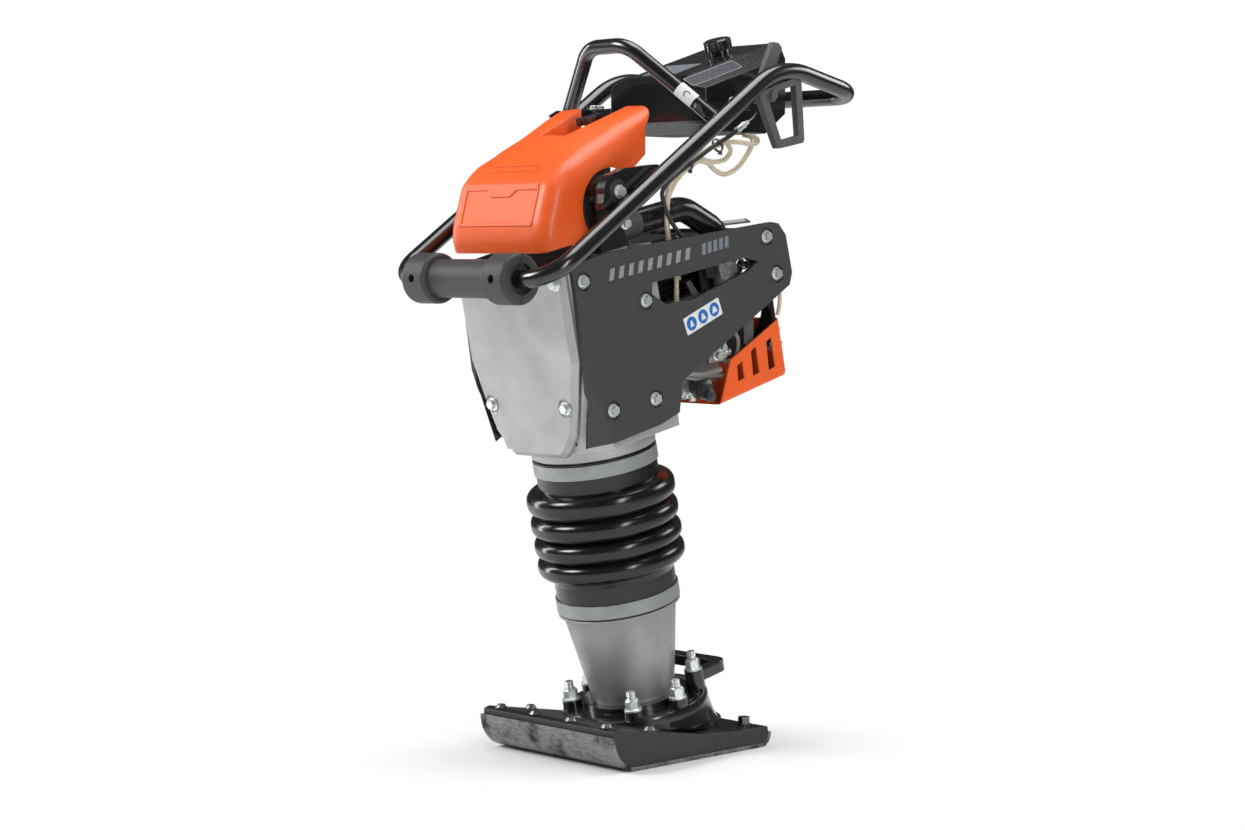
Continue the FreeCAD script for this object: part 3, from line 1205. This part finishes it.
def filter_element():
    """The round filter element inside the housing."""
    element = cylinder("size.element_radius", "2 * size.filter_half_width - 60",
                       ("-size.filter_half_width + 6", "size.filter_y", "size.filter_z"), "x")
    hollow = cylinder("size.element_radius - 18", "400", ("-200", "size.filter_y", "size.filter_z"), "x")
    return finish(cut(element, hollow), "filter_element")


def filter_cover():
    """The orange hood over the filter: sloping front, crowned top and a scoop for the knob."""
    dims("Hood outline, (y, z) in the row frame", hc_a_y=-250, hc_a_z=727, hc_b_y=-256, hc_b_z=746,
         hc_c_y=-255, hc_c_z=765, hc_d_y=-238, hc_d_z=823, hc_e_y=-221, hc_e_z=841, hc_f_y=-208,
         hc_f_z=853, hc_g_y=-169, hc_g_z=885, hc_h_y=-138, hc_h_z=900, hc_i_y=-46, hc_i_z=938,
         hc_j_y=-52, hc_j_z=925, hc_k_y=-64, hc_k_z=906, hc_l_y=-64, hc_l_z=867, hc_m_y=-90,
         hc_m_z=845, hc_n_y=-176, hc_n_z=758, hc_o_y=-202, hc_o_z=739)
    dims("Hood", hood_half_width=105, hood_wall=3.5, hood_cut_y=-129, hood_cut_z=791,
         hood_cut_radius=56, scoop_half=50, scoop_half_front=40, scoop_half_tip=20, scoop_tip_y=-169,
         scoop_floor=889, scoop_rear_y=-20, corner_half=80, corner_y=-255, corner_lean=16,
         crown_y=-176, crown_z=863, crown_rise=17, crown_half=88, crown_lean=29)
    outer = body("hood")
    pad(outer, "YZ", "-size.hood_half_width", "size.hood_half_width",
        [("size.hc_%s_y" % k, "size.hc_%s_z" % k) for k in "abcdefghijklmno"])
    side_holes = cylinder("size.hood_cut_radius", "3 * size.hood_half_width",
                          ("-1.5 * size.hood_half_width", "size.hood_cut_y", "size.hood_cut_z"), "x")
    scoop = body("scoop")
    pad(scoop, "XY", "size.scoop_floor", "size.hc_i_z + 10", [
        ("size.scoop_half_tip", "size.scoop_tip_y"), ("size.scoop_half_front", "size.scoop_tip_y + 20"),
        ("size.scoop_half", "size.scoop_tip_y + 69"), ("size.scoop_half", "size.scoop_rear_y"),
        ("-size.scoop_half", "size.scoop_rear_y"), ("-size.scoop_half", "size.scoop_tip_y + 69"),
        ("-size.scoop_half_front", "size.scoop_tip_y + 20"), ("-size.scoop_half_tip", "size.scoop_tip_y")])
    room = hood_room()
    stud_hole = cylinder("6", "60", ("0", "size.knob_row_y", "size.scoop_floor - 40"))
    skin = cut(outer, hood_bevels("0"))
    hollow = cut(room, hood_bevels("size.hood_wall"))
    return finish(cut(skin, hollow, scoop, side_holes, stud_hole), "filter_cover", leaning=False)


def hood_room():
    """The space inside the hood, open below and behind."""
    wall = "size.hood_wall"
    inner = body("hood_room")
    pad(inner, "YZ", "-size.hood_half_width + size.hood_wall", "size.hood_half_width - size.hood_wall", [
        ("size.hc_a_y + %s" % wall, "size.hc_a_z - 20"), ("size.hc_b_y + %s" % wall, "size.hc_b_z"),
        ("size.hc_c_y + %s" % wall, "size.hc_c_z"), ("size.hc_d_y + %s" % wall, "size.hc_d_z - 1"),
        ("size.hc_f_y + %s" % wall, "size.hc_f_z - %s" % wall),
        ("size.hc_g_y + 1", "size.scoop_floor - 2.5 * %s" % wall),
        ("size.hc_g_y + 20", "size.scoop_floor - %s" % wall),
        ("size.hc_i_y + 30", "size.scoop_floor - %s" % wall), ("size.hc_i_y + 30", "size.hc_a_z - 20")])
    return inner


def hood_bevels(inset):
    """What the hood's front corners and crowned top leave out, moved inwards by inset."""
    pieces = []
    for side in (-1, 1):
        corner = body("corner")
        pad(corner, "XY", "-90", "150", [
            ("%d * (size.corner_half - %s)" % (side, inset), "-60"), ("%d * 200" % side, "-60"),
            ("%d * 200" % side, "200 - size.corner_half + %s" % inset),
            ("%d * (size.corner_half - %s)" % (side, inset), "0")])
        corner.Placement = Placement(Vector(), Rotation(X_AXIS, -value("size.corner_lean")))
        bind(corner, **{"Placement.Base.y": "size.corner_y", "Placement.Base.z": "size.hc_c_z",
                        "Placement.Rotation.Angle": "size.corner_lean"})
        pieces.append(corner)
    crown = body("crown")
    wide = "size.hood_half_width + 20"
    fall = "size.hood_half_width + 20 - size.crown_half"
    pad(crown, "XZ", "-150", "190", [
        ("0", "size.crown_rise - %s" % inset), ("size.crown_half", "-(%s)" % inset),
        (wide, "-(%s) - %s" % (fall, inset)),
        (wide, "90"), ("-(%s)" % wide, "90"), ("-(%s)" % wide, "-(%s) - %s" % (fall, inset)),
        ("-size.crown_half", "-(%s)" % inset)])
    crown.Placement = Placement(Vector(), Rotation(X_AXIS, value("size.crown_lean")))
    bind(crown, **{"Placement.Base.y": "size.crown_y", "Placement.Base.z": "size.crown_z",
                   "Placement.Rotation.Angle": "size.crown_lean"})
    return fuse(crown, *pieces)


def star_knob():
    """The three-armed knob on the hood, with its stud."""
    arms = [cylinder("size.knob_hub", "14", ("0", "size.knob_y", "size.knob_z - 6")),
            cylinder("size.knob_hub - 2", "14", ("0", "size.knob_y", "size.knob_z - 19"))]
    for turn in (90, 210, 330):
        reach_x = "size.knob_reach * cos(%d deg)" % turn
        reach_y = "size.knob_reach * sin(%d deg)" % turn
        arms.append(cylinder("size.knob_arm", "12", (reach_x, "size.knob_y + " + reach_y,
                                                     "size.knob_z - 5")))
        half_way = (reach_x + " * 0.5", "size.knob_y + %s * 0.5" % reach_y, "size.knob_z - 5")
        arms.append(cylinder("size.knob_arm - 0.5", "11", half_way))
    stud = cylinder("size.bolt_shank", "36", ("0", "size.knob_y", "size.knob_z - 50"))
    return finish(fuse(*arms, stud), "star_knob")


# ---------------------------------------------------------------- handle

def handle_points():
    """The handle loop's corners, from the roller's bar round to the operator's bar."""
    x = value("size.handle_half_width")
    front = (value("size.handle_front_y"), value("size.handle_front_z"))
    crest = (value("size.handle_crest_y"), value("size.handle_crest_z"))
    rear = (value("size.handle_rear_y"), value("size.handle_rear_z"))
    middle = Vector(0, front[0], front[1])
    near = [Vector(x, *front), Vector(x, *crest), Vector(x, *rear)]
    far = [Vector(-x, *rear), Vector(-x, *crest), Vector(-x, *front)]
    corner = value("size.handle_corner")
    bend = value("size.handle_crest_radius")
    return [middle] + near + far, [0, corner, bend, corner, corner, bend, corner]


def handle_frame():
    """One closed loop of bent tube: roller bar, two side rails and the operator's bar."""
    points, radii = handle_points()
    wire = rounded_wire(points + points[:1], radii + [0])
    outer = sweep(wire, "size.handle_tube")
    inner = sweep(wire, "size.handle_tube - size.handle_wall")
    return finish(cut(outer, inner), "handle_frame", leaning=False)


def lifting_arch():
    """The arch between the side rails that protects the hood and takes a lifting hook."""
    foot = (value("size.arch_foot_x"), value("size.arch_foot_y"), value("size.arch_foot_z"))
    top = (value("size.arch_top_x"), value("size.arch_top_y"), value("size.arch_top_z"))
    corner = value("size.arch_corner")
    points = [Vector(*foot), Vector(*top),
              Vector(-top[0], top[1], top[2]), Vector(-foot[0], foot[1], foot[2])]
    bar = sweep(rounded_wire(points, [0, corner, corner, 0]), "size.arch_tube")
    return finish(bar, "lifting_arch", leaning=False)


dims("Handle brackets and bushes", bracket_inner_x=133, bracket_outer_x=148, eye_bore=17.6, bush_radius=17,
     eye_radius=27, weld_front_y=-128, weld_rear_y=-84, weld_front_z=811, weld_rear_z=841, weld_half=7)


def rails():
    """The solid of the handle loop's tube, for cutting saddles in the pieces welded to it."""
    points, radii = handle_points()
    return sweep(rounded_wire(points + points[:1], radii + [0]), "size.handle_tube")


def handle_brackets():
    """The plates welded inside the rails, each with an eye round its rubber bush."""
    plates = []
    for side in (-1, 1):
        low, high = ("size.bracket_inner_x", "size.bracket_outer_x")
        if side < 0:
            low, high = "-" + high, "-" + low
        plate = body("bracket")
        pad(plate, "YZ", low, high, [
            ("size.pivot_y - 32", "size.pivot_z - 26"), ("size.pivot_y - 22", "size.pivot_z + 16"),
            ("size.pivot_y + 8", "size.pivot_z + 32"), ("size.pivot_y + 82", "size.pivot_z + 40"),
            ("size.pivot_y + 84", "size.pivot_z + 24"), ("size.pivot_y + 6", "size.pivot_z - 30")])
        soften(plate, "9", lambda c, e: straight(e, X_AXIS))
        weld = body("weld")
        weld_low = "size.bracket_outer_x - 1" if side > 0 else "-size.handle_half_width"
        weld_high = "size.handle_half_width" if side > 0 else "-size.bracket_outer_x + 1"
        pad(weld, "YZ", weld_low, weld_high, [
            ("size.weld_front_y", "size.weld_front_z - size.weld_half"),
            ("size.weld_front_y", "size.weld_front_z + size.weld_half"),
            ("size.weld_rear_y", "size.weld_rear_z + size.weld_half"),
            ("size.weld_rear_y", "size.weld_rear_z - size.weld_half")])
        eye = cylinder("size.eye_radius", "size.bracket_outer_x - size.bracket_inner_x",
                       (low, "size.pivot_y", "size.pivot_z"), "x")
        bore = cylinder("size.eye_bore", "60", (low + " - 20", "size.pivot_y", "size.pivot_z"), "x")
        plates.append(cut(fuse(plate, eye, weld), bore, rails()))
    return finish(group(plates), "handle_brackets", leaning=False)


def handle_bushes():
    """The two rubber bushes on which the handle rocks."""
    bushes = []
    for side in (-1, 1):
        low = "size.support_outer_x" if side > 0 else "-size.bracket_outer_x"
        bush = cylinder("size.bush_radius", "size.bracket_outer_x - size.support_outer_x",
                        (low, "size.pivot_y", "size.pivot_z"), "x")
        hole = cylinder("size.bolt_shank + 0.1", "60", (low + " - 10", "size.pivot_y", "size.pivot_z"), "x")
        bushes.append(cut(bush, hole))
    return finish(group(bushes), "handle_bushes", leaning=False)


def roller():
    """The roller on the front bar: a barrel between two wider discs, free to turn."""
    dims("Roller", roller_half=108, disc_width=48, disc_radius=35.7, barrel_radius=27,
         disc_round=6, end_recess=22, end_depth=8, disc_hole=6)
    centre = ("size.handle_front_y", "size.handle_front_z")
    barrel = cylinder("size.barrel_radius", "2 * size.roller_half - 20",
                      ("-size.roller_half + 10",) + centre, "x")
    discs = []
    for x in ("-size.roller_half", "size.roller_half - size.disc_width"):
        disc = cylinder("size.disc_radius", "size.disc_width", (x,) + centre, "x")
        discs.append(rounded(disc, "size.disc_round", lambda c, e: True))
    bore = cylinder("size.handle_tube + 0.1", "400", ("-200",) + centre, "x")
    recess = [cylinder("size.end_recess", "size.end_depth", (x,) + centre, "x")
              for x in ("-size.roller_half - 0.01", "size.roller_half - size.end_depth + 0.01")]
    holes = []
    for x in ("-size.roller_half + size.disc_width / 2", "size.roller_half - size.disc_width / 2"):
        holes.append(cylinder("size.disc_hole", "90",
                              (x, "size.handle_front_y", "size.handle_front_z - 45")))
        holes.append(cylinder("size.disc_hole", "90",
                              (x, "size.handle_front_y - 45", "size.handle_front_z"), "y"))
    return finish(cut(fuse(barrel, *discs), bore, *recess, *holes), "roller", leaning=False)


# ---------------------------------------------------------------- fuel and throttle

dims("Fuel tank, in the row frame", tank_half_width=98, tank_front_y=50, tank_low=904, tank_front_low=918,
     tank_front_top=976, tank_slope_y=62, tank_slope_z=986, tank_slope=17.5, tank_crest_y=236,
     tank_rear_y=256, tank_rear_top=1018, tank_rear_low=936, tank_step_y=108, tank_tail_y=196,
     tank_nose_half=84, tank_shoulder_y=180, tank_tail_half=78, tank_flat_half=64, tank_bevel=27,
     room_half=70, room_inset=8, neck_outer=15, neck_inner=11,
     cap_y=194, cap_radius=19.5, cap_height=19, cap_base_z=1030)


def tank_outline(inset):
    """The tank's side outline, moved inwards by inset."""
    crest = "size.tank_slope_z + (size.tank_crest_y - size.tank_slope_y) * tan(size.tank_slope * 1 deg)"
    return [("size.tank_front_y + %s" % inset, "size.tank_front_low + %s" % inset),
            ("size.tank_front_y + %s" % inset, "size.tank_front_top - %s" % inset),
            ("size.tank_slope_y + %s" % inset, "size.tank_slope_z - %s" % inset),
            ("size.tank_crest_y", crest + " - %s" % inset),
            ("size.tank_rear_y - %s" % inset, "size.tank_rear_top - %s" % inset),
            ("size.tank_rear_y - %s" % inset, "size.tank_rear_low + %s" % inset),
            ("size.tank_tail_y", "size.tank_low + %s" % inset),
            ("size.tank_step_y", "size.tank_low + %s" % inset),
            ("size.tank_step_y - 10", "size.tank_front_low + %s" % inset)]


def fuel_tank():
    """The black moulded tank between the rails: hollow, bevelled, with a neck and an ear on each side."""
    side_form = body("tank")
    pad(side_form, "YZ", "-size.tank_half_width", "size.tank_half_width", tank_outline("0"))
    plan_form = body("tank_plan")
    right = [("size.tank_nose_half", "size.tank_front_y - 1"),
             ("size.tank_half_width", "size.tank_front_y + 16"),
             ("size.tank_half_width", "size.tank_shoulder_y"),
             ("size.tank_tail_half", "size.tank_rear_y + 1")]
    pad(plan_form, "XY", "size.tank_low - 10", "size.tank_slope_z + 100",
        right + [("-(%s)" % x, y) for x, y in reversed(right)])
    outer = doc.addObject("Part::Common", fresh("common"))
    outer.Base = side_form
    outer.Tool = plan_form
    crown = body("tank_crown")
    wide = "size.tank_half_width + 12"
    pad(crown, "XZ", "-60", "260", [
        ("size.tank_flat_half", "0"), (wide, "-size.tank_bevel"), (wide, "60"), ("-(%s)" % wide, "60"),
        ("-(%s)" % wide, "-size.tank_bevel"), ("-size.tank_flat_half", "0")])
    crown.Placement = Placement(Vector(), Rotation(X_AXIS, value("size.tank_slope")))
    bind(crown, **{"Placement.Base.y": "size.tank_slope_y", "Placement.Base.z": "size.tank_slope_z",
                   "Placement.Rotation.Angle": "size.tank_slope"})
    room = body("tank_room")
    pad(room, "YZ", "-size.room_half", "size.room_half", tank_outline("size.room_inset"))
    ears = [box((low, "66", "932"), (high, "92", "944")) for low, high in
            (("-size.handle_half_width + 4", "-size.tank_half_width + 3"),
             ("size.tank_half_width - 3", "size.handle_half_width - 4"))]
    neck = on_tank_top(cylinder("size.neck_outer", "20", ("0", "0", "-20.2")))
    filler = on_tank_top(cylinder("size.neck_inner", "60", ("0", "0", "-50")))
    skin = cut(outer, crown)
    return finish(cut(fuse(skin, neck, *ears), room, filler, rails()), "fuel_tank", leaning=False)


def on_tank_top(shape):
    """Moves a shape drawn about the Z axis to the filler, square to the tank's sloping top."""
    moved = doc.addObject("Part::Compound", fresh("filler"))
    moved.Links = [shape]
    moved.Placement = Placement(Vector(), Rotation(X_AXIS, value("size.tank_slope")))
    bind(moved, **{"Placement.Base.y": "size.cap_y", "Placement.Base.z": "size.cap_base_z",
                   "Placement.Rotation.Angle": "size.tank_slope"})
    return moved


def fuel_cap():
    """The ribbed cap on the sloping top of the tank."""
    owner = body("cap")
    revolve(owner, [("0", "0"), ("size.cap_radius - 4", "0"), ("size.cap_radius - 4", "3"),
                    ("size.cap_radius", "3"), ("size.cap_radius", "size.cap_height - 2"),
                    ("size.cap_radius - 2", "size.cap_height"), ("0", "size.cap_height")])
    ribs = []
    for turn in range(0, 360, 30):
        ribs.append(cylinder("2", "size.cap_height - 5", ("size.cap_radius * cos(%d deg)" % turn,
                                                        "size.cap_radius * sin(%d deg)" % turn, "3.5")))
    cap = finish(fuse(owner, *ribs), "fuel_cap", leaning=False)
    cap.Placement = Placement(Vector(), Rotation(X_AXIS, value("size.tank_slope")))
    bind(cap, **{"Placement.Base.y": "size.cap_y", "Placement.Base.z": "size.cap_base_z",
                 "Placement.Rotation.Angle": "size.tank_slope"})
    return cap


dims("Throttle lever, in the row frame", lever_y=129, lever_z=955, lever_low_x=137, lever_high_x=146,
     lever_tip_y=165, lever_tip_z=1032, lever_pin=4)


def throttle_lever():
    """The throttle lever: a hub inside the rail and an arm that stands up past it."""
    hub = cylinder("12", "size.lever_high_x - size.lever_low_x",
                   ("size.lever_low_x", "size.lever_y", "size.lever_z"), "x")
    arm = body("lever")
    pad(arm, "YZ", "size.lever_low_x", "size.lever_high_x", [
        ("size.lever_y - 11", "size.lever_z + 3"), ("size.lever_tip_y - 9", "size.lever_tip_z + 2"),
        ("size.lever_tip_y + 3", "size.lever_tip_z + 1"), ("size.lever_tip_y + 10", "size.lever_tip_z - 6"),
        ("size.lever_y + 11", "size.lever_z - 2")])
    soften(arm, "2", lambda c, e: straight(e, X_AXIS) and c.z > value("size.lever_z") + 40)
    hole = cylinder("size.lever_pin + 0.05", "60",
                    ("size.lever_low_x - 20", "size.lever_y", "size.lever_z"), "x")
    return finish(cut(fuse(hub, arm), hole), "throttle_lever", leaning=False)


def lever_guard():
    """The V-shaped loop under the rail that guards the lever's linkage, with the lever's pin."""
    dims("Lever guard", guard_low_x=159, guard_high_x=170, guard_front_y=99, guard_front_z=957,
         guard_tip_y=141, guard_tip_z=878, guard_back_y=198, guard_back_z=889, guard_top_y=190,
         guard_top_z=986, guard_bar=12)
    loop = body("guard_loop")
    pad(loop, "YZ", "size.guard_low_x", "size.guard_high_x", [
        ("size.guard_front_y", "size.guard_front_z"), ("size.guard_tip_y", "size.guard_tip_z"),
        ("size.guard_back_y", "size.guard_back_z"), ("size.guard_top_y", "size.guard_top_z")])
    soften(loop, "6", lambda c, e: straight(e, X_AXIS) and c.z < 900)
    pocket(loop, "YZ", "size.guard_low_x - 1", "size.guard_high_x + 1", [
        ("size.guard_front_y + size.guard_bar * 1.5", "size.guard_front_z - 3"),
        ("size.guard_tip_y + size.guard_bar * 0.6", "size.guard_tip_z + size.guard_bar"),
        ("size.guard_back_y - size.guard_bar", "size.guard_back_z + size.guard_bar * 0.8"),
        ("size.guard_top_y - size.guard_bar", "size.guard_top_z - size.guard_bar * 1.2")])
    boss = cylinder("9", "size.guard_high_x - size.lever_high_x - 1",
                    ("size.lever_high_x + 0.5", "size.lever_y", "size.lever_z - 1"), "x")
    pin = cylinder("size.lever_pin", "size.guard_high_x - size.lever_low_x + 6",
                   ("size.lever_low_x - 4", "size.lever_y", "size.lever_z"), "x")
    head = hexagon("7", "4", ("size.guard_high_x", "size.lever_y", "size.lever_z"), "x")
    return finish(cut(fuse(loop, boss, pin, head), rails()), "lever_guard", leaning=False)


def hose(corners, radii, radius):
    """A flexible hose through row-frame corners."""
    return sweep(rounded_wire([Vector(*corner) for corner in corners], radii), radius)


def throttle_cable():
    """The cable from the lever down to the engine, under the near rail."""
    dims("Throttle cable", cable_x=143, cable_radius=3.5, cable_engine_x=107.5, cable_end_y=85)
    x = value("size.cable_x")
    inner = value("size.cable_engine_x")
    end_y = value("size.cable_end_y")
    corners = [(x - 2, 112, 938), (x, 74, 892), (x, 6, 846), (x - 14, -4, 800), (inner, 14, 748),
               (inner, 50, 726), (inner - 7, end_y - 16, 717), (inner - 7, end_y, 717)]
    cable = hose(corners, [0, 20, 36, 30, 24, 20, 8, 0], "size.cable_radius")
    return finish(cable, "throttle_cable", leaning=False)


def fuel_hoses():
    """The feed hose and the return hose between the tank and the engine."""
    dims("Fuel hoses", hose_radius=4)
    feed = hose([(70, 84, 916.5), (78, 84, 880), (112, 62, 862), (122, -2, 838), (117, -50, 785),
                 (98, -50, 732), (92, -16, 690)], [0, 12, 20, 30, 24, 24, 0], "size.hose_radius")
    back = hose([(40, 150, 902.5), (52, 150, 872), (106, 132, 852), (126, 84, 872), (128, 16, 850),
                 (118, -38, 812), (108, -38, 748), (104, -4, 690)], [0, 14, 20, 22, 30, 24, 24, 0],
                "size.hose_radius")
    return finish(group([feed, back]), "fuel_hoses", leaning=False)


# ---------------------------------------------------------------- build, check and export

dims("Engine details", bore_y=162, bore_radius=26, block_corner=12, bell_gap=4, bell_wall=8,
     cavity_radius=42, cavity_wall=14, fin_pitch=9, fin_thickness=3, fin_depth=40, head_plate=10,
     cover_inset=10, cover_depth=32, web_disc=34, web_disc_width=40, rope_x=-30, rope_z=650,
     rope_radius=2.5, grip_half=26, grip_thick=15, grip_low=8, carb_x=87, carb_y=228, carb_z=676,
     hub_radius=24, blade_half=2, blade_root=34, starter_wall=4, vent_low=32, vent_high=62, vent_half=4)

foot_pad()
foot_shoe()
shoe_bolts()
foot_casting()
foot_studs()
foot_nuts()
foot_handle()
oil_sight_glass()
leg()
bellows()
band("lower_band", "size.lower_band_z")
band("upper_band", "size.upper_band_z")
spring_cylinder()
spring("lower_spring", "size.spring_cylinder_low + size.cap_thickness", "size.plate_low", 11)
spring("upper_spring", "size.plate_low + size.plate_thickness",
       "size.spring_cylinder_high - size.cap_thickness", 5)
guide_cylinder()
piston()
piston_rod()
wrist_pin()
connecting_rod()
crank_pin()
crank_gear()
pinion()
bearings()
clutch_drum()
clutch_shoes()
engine_crankshaft()
engine_block()
engine_cylinder()
cylinder_head()
spark_plug()
flywheel()
recoil_housing()
recoil_handle()
carburettor()
choke_lever()
intake_elbow()
muffler()
crankcase()
front_cover()
side_cover(1, "side_cover_right")
side_cover(-1, "side_cover_left")
rear_guard()
rear_frame()
housing_bolts()
filter_housing()
filter_element()
filter_cover()
star_knob()
handle_frame()
lifting_arch()
handle_brackets()
handle_bushes()
roller()
fuel_tank()
fuel_cap()
throttle_lever()
lever_guard()
throttle_cable()
fuel_hoses()
doc.recompute()

for thing in doc.Objects:
    if "Invalid" in thing.State or "Error" in thing.State:
        raise RuntimeError("%s (%s) failed: %s" % (thing.Name, thing.Label, thing.State))
for part in finished:
    if part.Shape.isNull() or not part.Shape.isValid() or not part.Shape.Solids:
        raise RuntimeError("%s has no valid solid" % part.Label)

os.makedirs("parts", exist_ok=True)
for part in finished:
    part.Shape.exportStep("parts/%s.step" % part.Label)
print("wrote %d sub-parts" % len(finished))
